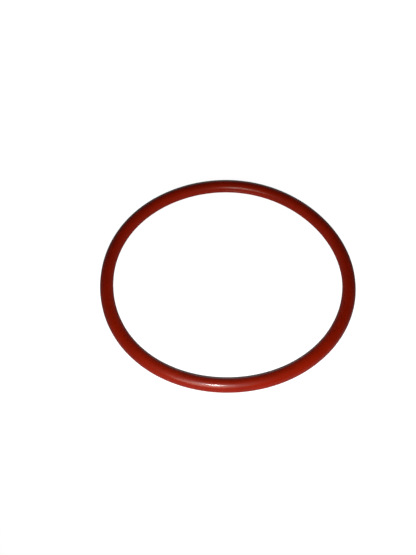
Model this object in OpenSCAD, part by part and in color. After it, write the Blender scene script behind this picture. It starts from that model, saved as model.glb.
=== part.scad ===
// Silicone O-ring: a plain moulded sealing ring that lies flat.
// It is one piece, a round section carried once round the Z axis. The mould's
// two halves meet in the ring's own plane and leave a fine trimmed line there,
// once round the inside and once round the outside.
// Millimetres, +Z up. The origin is the ring's centre, halfway up its section.

/* [Ring] */
// Inside diameter, across the hole between the round sections
inside_d = 63.09; // [20:0.01:120]
// Diameter of the round section, which is the ring's thickness
section_d = 3.53; // [1.78:0.01:7]

/* [Mould line] */
// How far the trimmed line stands proud of the round section
line_h = 0.05; // [0.02:0.01:0.14]
// Width of the flat that trimming leaves on top of the line
line_w = 0.12; // [0.06:0.01:0.3]
// Slope of the line's sides, measured from the flat on top
line_slope = 60; // [50:1:80]

/* [Colour] */
// Colour of the silicone
silicone = "#a5352a"; // ["#a5352a":iron-oxide red, "#1d1d1f":black, "#d9dcd8":clear, "#2f6fb0":blue]

/* [Hidden] */

// Distance from the axis to the middle of the section
centreline_r = (inside_d + section_d) / 2;
// Distance from the middle of the section to the flat on top of the line
line_top = section_d / 2 + line_h;
// Distance from the middle of the section to the foot of the line's sides, which
// are carried as deep into the section as the line stands proud of it
line_foot = section_d / 2 - line_h;
// Half the width across the line's sides where they end at that foot
foot_w = line_w / 2 + (line_top - line_foot) / tan(line_slope);
// Flats that the preview draws round the section and round the ring
section_fn = 32;
ring_fn = 180;

// A bar that lies across the section in the ring's plane: its two ends are
// the mould lines, and the rest of it is inside the round section
module mould_line() {
    polygon([
        [-line_top, -line_w / 2],
        [-line_foot, -foot_w],
        [line_foot, -foot_w],
        [line_top, -line_w / 2],
        [line_top, line_w / 2],
        [line_foot, foot_w],
        [-line_foot, foot_w],
        [-line_top, line_w / 2]
    ]);
}

// The whole section as it leaves the mould
module section() {
    circle(d = section_d, $fn = section_fn);
    mould_line();
}

module o_ring() {
    color(silicone)
        rotate_extrude($fn = ring_fn)
            translate([centreline_r, 0])
                section();
}

o_ring();
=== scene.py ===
"""Silicone O-ring lying on a pale table: camera, lamps, table and the moulded ring.

Everything is in metres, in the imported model's frame: the origin is the ring's centre,
halfway up its section, and +Z is the ring's axis.
"""
import math

import bpy
import numpy as np
from mathutils import Matrix, Vector


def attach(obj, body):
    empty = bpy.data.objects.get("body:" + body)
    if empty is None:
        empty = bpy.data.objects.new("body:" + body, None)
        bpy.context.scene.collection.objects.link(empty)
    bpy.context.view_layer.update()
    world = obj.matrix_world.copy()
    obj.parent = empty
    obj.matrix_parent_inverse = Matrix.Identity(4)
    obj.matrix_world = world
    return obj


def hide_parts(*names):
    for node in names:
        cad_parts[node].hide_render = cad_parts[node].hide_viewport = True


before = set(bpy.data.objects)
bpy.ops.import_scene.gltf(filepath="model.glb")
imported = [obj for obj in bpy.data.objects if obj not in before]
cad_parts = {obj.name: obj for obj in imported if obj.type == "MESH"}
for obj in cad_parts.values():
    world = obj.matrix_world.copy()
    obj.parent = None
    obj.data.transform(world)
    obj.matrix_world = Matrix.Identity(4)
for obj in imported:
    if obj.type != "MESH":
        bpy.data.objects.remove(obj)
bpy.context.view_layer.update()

MM = 0.001

# The ring's sizes, as in the part's source
INSIDE_D = 63.09 * MM
SECTION_D = 3.53 * MM
SECTION_R = SECTION_D / 2
CENTRELINE_R = (INSIDE_D + SECTION_D) / 2
LINE_H = 0.05 * MM
LINE_W = 0.12 * MM
LINE_SLOPE = math.radians(60)

# The faint turning marks that the mould leaves along the skin
MARK_LENGTH = 6.7 * MM
MARK_SPACING = 0.07 * MM

TABLE_Z = -SECTION_R


# Camera

def place_camera():
    """A pinhole camera in front of the ring, above it and looking down.

    It looks 55 degrees down, is rolled under a degree, and stands a little to the left of
    the ring's centre, which puts the ring where the photograph has it in a 416 x 555 frame.
    Its place is in centre-line radii.
    """
    down = math.radians(55.037)
    roll = -0.0149
    focal_px, frame_h_px, sensor_mm = 568.7, 555, 36
    place = Vector((-0.15645, -2.73041, 3.86607)) * CENTRELINE_R

    back = Vector((0, -math.cos(down), math.sin(down)))
    level = Vector((1, 0, 0))
    rise = back.cross(level)
    right = level * math.cos(roll) + rise * math.sin(roll)
    up = rise * math.cos(roll) - level * math.sin(roll)

    data = bpy.data.cameras.new("camera")
    data.sensor_width = sensor_mm
    data.lens = focal_px / frame_h_px * sensor_mm
    data.clip_start, data.clip_end = 0.005, 10
    camera = bpy.data.objects.new("camera", data)
    bpy.context.collection.objects.link(camera)
    turn = Matrix((right, up, back)).transposed()
    camera.matrix_world = Matrix.Translation(place) @ turn.to_4x4()
    bpy.context.scene.camera = camera


# Node helpers

def new_material(name):
    """An empty node material with its output, and the two collections that fill it."""
    made = bpy.data.materials.new(name)
    made.use_nodes = True
    nodes, links = made.node_tree.nodes, made.node_tree.links
    nodes.clear()
    return made, nodes, links, nodes.new("ShaderNodeOutputMaterial")


def noise(nodes, links, place, scale, detail, roughness):
    """A noise texture with scale cells to each unit of the given coordinates."""
    tex = nodes.new("ShaderNodeTexNoise")
    tex.inputs["Scale"].default_value = scale
    tex.inputs["Detail"].default_value = detail
    tex.inputs["Roughness"].default_value = roughness
    links.new(place, tex.inputs["Vector"])
    return tex.outputs["Fac"]


def remap(nodes, links, value, low, high, to_low, to_high):
    """Maps low..high to to_low..to_high and holds it there."""
    node = nodes.new("ShaderNodeMapRange")
    node.inputs["From Min"].default_value = low
    node.inputs["From Max"].default_value = high
    node.inputs["To Min"].default_value = to_low
    node.inputs["To Max"].default_value = to_high
    links.new(value, node.inputs["Value"])
    return node.outputs["Result"]


# Silicone

def silicone_finish():
    """Iron-oxide red silicone with a satin moulded skin.

    The pigment is a touch cloudy. The rubber's own gloss is a faint broad haze, and the
    smoother moulded skin over it adds a narrower shine. The skin has a fine grain, and faint
    turning marks from the mould that run round the ring. The trimmed mould line is paler.
    """
    made, nodes, links, out = new_material("red_silicone")
    skin = nodes.new("ShaderNodeBsdfPrincipled")
    skin.inputs["IOR"].default_value = 1.41
    skin.inputs["Specular IOR Level"].default_value = 0.125
    skin.inputs["Coat Weight"].default_value = 0.30
    skin.inputs["Coat Roughness"].default_value = 0.19
    skin.inputs["Coat IOR"].default_value = 1.41
    links.new(skin.outputs["BSDF"], out.inputs["Surface"])

    place = nodes.new("ShaderNodeTexCoord").outputs["Object"]
    turned = nodes.new("ShaderNodeAttribute")
    turned.attribute_name = "turning_marks"
    line = nodes.new("ShaderNodeAttribute")
    line.attribute_name = "mould_line"

    # Colour: two reds mixed by a soft cloud, then the paler line
    cloud = noise(nodes, links, place, 140, 3, 0.6)
    pigment = nodes.new("ShaderNodeMix")
    pigment.data_type = "RGBA"
    pigment.inputs["A"].default_value = (0.33, 0.0115, 0.0005, 1)
    pigment.inputs["B"].default_value = (0.39, 0.0145, 0.0008, 1)
    links.new(remap(nodes, links, cloud, 0.35, 0.65, 0, 1), pigment.inputs["Factor"])
    trimmed = nodes.new("ShaderNodeMix")
    trimmed.data_type = "RGBA"
    trimmed.inputs["B"].default_value = (0.36, 0.040, 0.021, 1)
    links.new(remap(nodes, links, line.outputs["Fac"], 0, 1, 0, 0.6), trimmed.inputs["Factor"])
    links.new(pigment.outputs["Result"], trimmed.inputs["A"])
    links.new(trimmed.outputs["Result"], skin.inputs["Base Color"])

    # Haze, with slightly drier patches
    patches = noise(nodes, links, place, 420, 3, 0.6)
    links.new(remap(nodes, links, patches, 0.3, 0.7, 0.38, 0.46), skin.inputs["Roughness"])

    # Skin: grain of a tenth of a millimetre, and turning marks along the ring
    grain = noise(nodes, links, place, 7000, 2, 0.6)
    marks = noise(nodes, links, turned.outputs["Vector"], 1, 2, 0.5)
    relief = nodes.new("ShaderNodeMix")
    relief.data_type = "FLOAT"
    relief.inputs["Factor"].default_value = 0.35
    links.new(grain, relief.inputs["A"])
    links.new(marks, relief.inputs["B"])
    bump = nodes.new("ShaderNodeBump")
    bump.inputs["Strength"].default_value = 0.5
    bump.inputs["Distance"].default_value = 0.02 * MM
    links.new(relief.outputs["Result"], bump.inputs["Height"])
    links.new(bump.outputs["Normal"], skin.inputs["Normal"])
    return made


# Moulded ring

def section_profile():
    """The section as it leaves the mould, anticlockwise from the outside.

    Each row is the angle round the section, how far that point stands outside or inside the
    plain round section, as a share of the line's height, and 1 on the trimmed line. The line's
    flat is LINE_W wide and LINE_H proud, and its sides slope down to the round section, which
    they meet in a foot that is eased over half a degree.
    """
    flat = math.asin(LINE_W / 2 / SECTION_R)
    foot = flat + math.asin((LINE_H / math.tan(LINE_SLOPE)) / SECTION_R)
    ease = math.radians(0.45)
    line = np.array([
        (-foot - 3 * ease, 0, 0),
        (-foot - ease, 0, 0),
        (-foot, 0.12, 0.5),
        (-flat, 1, 1),
        (0, 1, 1),
        (flat, 1, 1),
        (foot, 0.12, 0.5),
        (foot + ease, 0, 0),
        (foot + 3 * ease, 0, 0),
    ])
    reach = foot + 3 * ease
    plain = np.linspace(reach, math.pi - reach, 24)[1:-1]
    smooth = np.c_[plain, np.zeros((len(plain), 2))]
    half = np.vstack([line, smooth])
    return np.vstack([half, half + (math.pi, 0, 0)])


def ring_lay(turn):
    """How the soft ring lies: its centre line's radius at each angle round the ring.

    It is a circle with three gentle waves, because a rubber ring taken out of a bag doesn't
    lie quite round. A wave is its number of lobes, its height as a share of the radius, none
    over 0.2 mm, and where it crests, in degrees.
    """
    waves = ((3, 0.00516, -16.6), (4, 0.00180, -29.6), (5, 0.00150, 5.0))
    return CENTRELINE_R * (1 + sum(a * np.cos(k * (turn - math.radians(p))) for k, a, p in waves))


def moulded_ring(around=1440):
    """The ring's skin: the section's profile carried once round the laid centre line.

    A point is the centre line's point, plus the section's radius at that profile angle along
    cos(angle) times outwards and sin(angle) times up. The trimmed line's height wavers by a
    tenth along the ring, as a trimming knife leaves it.

    The skin carries two attributes for its finish. mould_line is 1 on the trimmed line.
    turning_marks is (cos turn, sin turn, share of the way round the section), each scaled so
    that a pattern on it is drawn out to MARK_LENGTH and MARK_SPACING. It closes round the
    ring, and breaks only beside the outer mould line, where the mould's halves meet.
    """
    profile = section_profile()
    angle, proud, on_line = profile.T
    turn = np.arange(around) * (2 * math.pi / around)
    radius = ring_lay(turn)
    slope = np.gradient(np.r_[radius[-1:], radius, radius[:1]], turn[1])[1:-1]
    ray = np.c_[np.cos(turn), np.sin(turn)]
    centre = radius[:, None] * ray
    along = slope[:, None] * ray + radius[:, None] * np.c_[-ray[:, 1], ray[:, 0]]
    along /= np.linalg.norm(along, axis=1)[:, None]
    outwards = np.c_[along[:, 1], -along[:, 0]]

    waver = 0.9 + 0.06 * np.sin(23 * turn + 1.0) + 0.04 * np.sin(61 * turn + 2.2)
    reach = SECTION_R + LINE_H * proud[None, :] * waver[:, None]
    points = np.empty((around, len(angle), 3))
    points[..., :2] = centre[:, None] + outwards[:, None] * (reach * np.cos(angle))[..., None]
    points[..., 2] = reach * np.sin(angle)

    n = len(angle)
    i, j = np.meshgrid(np.arange(around), np.arange(n), indexing="ij")
    ahead, over = (i + 1) % around, (j + 1) % n
    quads = np.stack([i * n + j, ahead * n + j, ahead * n + over, i * n + over], -1).reshape(-1, 4)

    mesh = bpy.data.meshes.new("silicone_ring")
    mesh.from_pydata(points.reshape(-1, 3), [], quads)
    mesh.polygons.foreach_set("use_smooth", np.ones(len(quads), bool))

    # The map runs 0..1 round the ring and 0..1 round the section, and closes at both seams
    u = np.stack([i, i + 1, i + 1, i], -1) / around
    share = np.r_[angle - angle[0], 2 * math.pi] / (2 * math.pi)
    v = np.stack([share[j], share[j], share[j + 1], share[j + 1]], -1)
    layer = mesh.uv_layers.new(name="UVMap")
    layer.data.foreach_set("uv", np.stack([u, v], -1).reshape(-1))

    long, fine = CENTRELINE_R / MARK_LENGTH, 2 * math.pi * SECTION_R / MARK_SPACING
    whole = 2 * math.pi * u
    way = np.stack([long * np.cos(whole), long * np.sin(whole), fine * v], -1)
    marks = mesh.attributes.new("turning_marks", "FLOAT_VECTOR", "CORNER")
    marks.data.foreach_set("vector", way.reshape(-1))
    mask = mesh.attributes.new("mould_line", "FLOAT", "POINT")
    mask.data.foreach_set("value", np.tile(on_line, around))
    mesh.update()

    ring = bpy.data.objects.new("silicone_ring", mesh)
    bpy.context.collection.objects.link(ring)
    ring.data.materials.append(silicone_finish())
    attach(ring, "root")
    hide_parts("o_ring")
    return ring


# Table and backdrop

def distance(nodes, links, place, point):
    """How far the given coordinates are from a point."""
    far = nodes.new("ShaderNodeVectorMath")
    far.operation = "DISTANCE"
    far.inputs[1].default_value = point
    links.new(place, far.inputs[0])
    return far.outputs["Value"]


def ray_sum(nodes, links, rays, weights):
    """Adds a Light Path node's outputs, each times its weight, and holds the sum to 1.

    A weight is a number, or a socket where it changes from place to place.
    """
    total = None
    for kind, weight in weights:
        step = nodes.new("ShaderNodeMath")
        step.operation = "MULTIPLY_ADD"
        step.use_clamp = True
        if isinstance(weight, (int, float)):
            step.inputs[1].default_value = weight
        else:
            links.new(weight, step.inputs[1])
        step.inputs[2].default_value = 0
        links.new(rays.outputs[kind], step.inputs[0])
        if total:
            links.new(total, step.inputs[2])
        total = step.outputs["Value"]
    return total


def diffuse(nodes, grey):
    """A matt surface of the given grey."""
    matt = nodes.new("ShaderNodeBsdfDiffuse")
    matt.inputs["Color"].default_value = (grey, grey, grey, 1)
    return matt.outputs["BSDF"]


def table_finish():
    """Matt white, with the ring's shadow kept on it.

    Seen straight or through glass, the table is lit to white round the ring by its own lamp,
    which leaves the ring's shadow, and further out it is white from its own glow. It throws
    light back on the ring as a mid grey would. Reflections take four tenths of what is seen
    from the table just in front of the ring, and an eighth from the rest: a pool of light
    painted on the table in front of the ring, which only reflections see.
    """
    made, nodes, links, out = new_material("white_table")
    place = nodes.new("ShaderNodeTexCoord").outputs["Object"]
    rays = nodes.new("ShaderNodeLightPath")

    # Seen: matt, with a glow that is faint under the ring and full further out
    away = distance(nodes, links, place, (0, 0, 0))
    faint, full = 0.04, 1.0
    ring_edge, further_out = 0.039, 0.06
    glow = nodes.new("ShaderNodeEmission")
    links.new(remap(nodes, links, away, ring_edge, further_out, faint, full), glow.inputs["Strength"])
    seen = nodes.new("ShaderNodeAddShader")
    links.new(diffuse(nodes, 0.8), seen.inputs[0])
    links.new(glow.outputs["Emission"], seen.inputs[1])

    # Thrown back on the ring: mid grey to diffuse rays, and nothing to the others
    thrown = nodes.new("ShaderNodeMixShader")
    links.new(rays.outputs["Is Diffuse Ray"], thrown.inputs["Fac"])
    links.new(diffuse(nodes, 0.345), thrown.inputs[2])

    # Painted reflection: reflections see a pool of light painted on the table in front of the ring,
    # brighter than the rest
    from_front = distance(nodes, links, place, (0, -0.075, TABLE_Z))
    painted_pool_in_gloss = remap(nodes, links, from_front, 0.045, 0.075, 0.42, 0.12)
    weights = (("Is Camera Ray", 1), ("Is Transmission Ray", 1), ("Is Glossy Ray", painted_pool_in_gloss))
    choose = nodes.new("ShaderNodeMixShader")
    links.new(ray_sum(nodes, links, rays, weights), choose.inputs["Fac"])
    links.new(thrown.outputs["Shader"], choose.inputs[1])
    links.new(seen.outputs["Shader"], choose.inputs[2])
    links.new(choose.outputs["Shader"], out.inputs["Surface"])
    return made


def white_table():
    """A round table whose rim sweeps up into a wall, so that low views end in white too.

    The profile is flat, then a quarter circle, then a straight wall, turned once round the Z
    axis. A tiny face closes the middle.
    """
    middle_r, flat_r, sweep_r, wall_h = 0.0005, 0.35, 0.25, 0.35
    bend = np.linspace(0, math.pi / 2, 25)
    out = np.r_[middle_r, 0.08, 0.2, flat_r + sweep_r * np.sin(bend), flat_r + sweep_r]
    up = np.r_[0, 0, 0, sweep_r - sweep_r * np.cos(bend), sweep_r + wall_h]
    around = 96
    turn = np.arange(around) * (2 * math.pi / around)
    points = np.empty((around, len(out), 3))
    points[..., 0] = np.cos(turn)[:, None] * out
    points[..., 1] = np.sin(turn)[:, None] * out
    points[..., 2] = TABLE_Z + up

    n = len(out)
    i, j = np.meshgrid(np.arange(around), np.arange(n - 1), indexing="ij")
    ahead = (i + 1) % around
    quads = np.stack([i * n + j, i * n + j + 1, ahead * n + j + 1, ahead * n + j], -1).reshape(-1, 4)
    middle = np.arange(around) * n

    mesh = bpy.data.meshes.new("table")
    mesh.from_pydata(points.reshape(-1, 3), [], [*quads.tolist(), middle.tolist()])
    mesh.polygons.foreach_set("use_smooth", np.ones(len(mesh.polygons), bool))
    mesh.update()

    table = bpy.data.objects.new("table", mesh)
    bpy.context.collection.objects.link(table)
    table.data.materials.append(table_finish())
    return table


# Lamps

def lamp(name, place, aim, size, power, shine, spread=180, colour=(1, 1, 1)):
    """A round lamp at place, facing aim, that the camera doesn't see.

    Its beam is spread degrees wide. It makes only the shine on the skin, or only the plain
    light, so that each can come from its own place.
    """
    data = bpy.data.lights.new(name, "AREA")
    data.shape = "DISK"
    data.size = size
    data.energy = power
    data.spread = math.radians(spread)
    data.color = colour
    made = bpy.data.objects.new(name, data)
    bpy.context.collection.objects.link(made)
    made.location = place
    made.rotation_mode = "QUATERNION"
    made.rotation_quaternion = (Vector(aim) - Vector(place)).to_track_quat("-Z", "Y")
    made.visible_camera = False
    made.visible_diffuse = not shine
    made.visible_glossy = shine
    return made


def lights_only(light, receiver):
    """Lets a light fall on one object alone. Everything still casts its shadow."""
    only = bpy.data.collections.new("lit_by_" + light.name)
    only.objects.link(receiver)
    light.light_linking.receiver_collection = only


def light_the_ring(ring):
    """Plain light and shine for the ring, and a dim room.

    In front are a soft, slightly warm lamp, its twin a little further left for the broad shine
    on both arcs, and a small one for the narrow shine on the near arc. Behind is a low lamp.
    """
    warm = (1, 0.93, 0.76)
    soft = {"aim": (0, -0.01, 0), "size": 0.08, "colour": warm}
    lights = (
        lamp("front_lamp", (-0.008, -0.115, 0.080), power=0.130, shine=False, **soft),
        lamp("broad_shine", (-0.036, -0.115, 0.080), power=0.135, shine=True, **soft),
        lamp("narrow_shine", (-0.0080, -0.0563, 0.0443), aim=(-0.0040, -0.0333, 0), size=0.007,
             power=0.0120, shine=True, spread=88),
        lamp("back_lamp", (0.05, 0.16, 0.012), aim=(0, 0.02, 0), size=0.02, power=0.028, shine=False),
    )
    for light in lights:
        lights_only(light, ring)

    world = bpy.data.worlds.new("room")
    world.use_nodes = True
    air = world.node_tree.nodes["Background"]
    air.inputs["Color"].default_value = (1, 1, 1, 1)
    air.inputs["Strength"].default_value = 0.013
    bpy.context.scene.world = world


def light_the_table(table):
    """A small bright lamp for the table alone, just under and behind the camera.

    It lights the table to white round the ring, as strongly far off as near, and leaves the
    ring's sharp shadow, which the camera sees as a thin dark line behind each arc.
    """
    data = bpy.data.lights.new("table_lamp", "SPOT")
    data.energy = 70
    data.spot_size = math.radians(64)
    data.spot_blend = 0.3
    data.shadow_soft_size = 0.001
    data.use_nodes = True
    nodes, links = data.node_tree.nodes, data.node_tree.links
    falloff = nodes.new("ShaderNodeLightFalloff")
    falloff.inputs["Strength"].default_value = 1
    links.new(falloff.outputs["Constant"], nodes["Emission"].inputs["Strength"])
    made = bpy.data.objects.new("table_lamp", data)
    bpy.context.collection.objects.link(made)
    place = Vector((-0.13, -2.99, 3.58)) * CENTRELINE_R
    made.location = place
    made.rotation_mode = "QUATERNION"
    made.rotation_quaternion = (-place).to_track_quat("-Z", "Y")
    lights_only(made, table)


place_camera()
light_the_ring(moulded_ring())
light_the_table(white_table())

bpy.context.scene.view_settings.view_transform = "Standard"
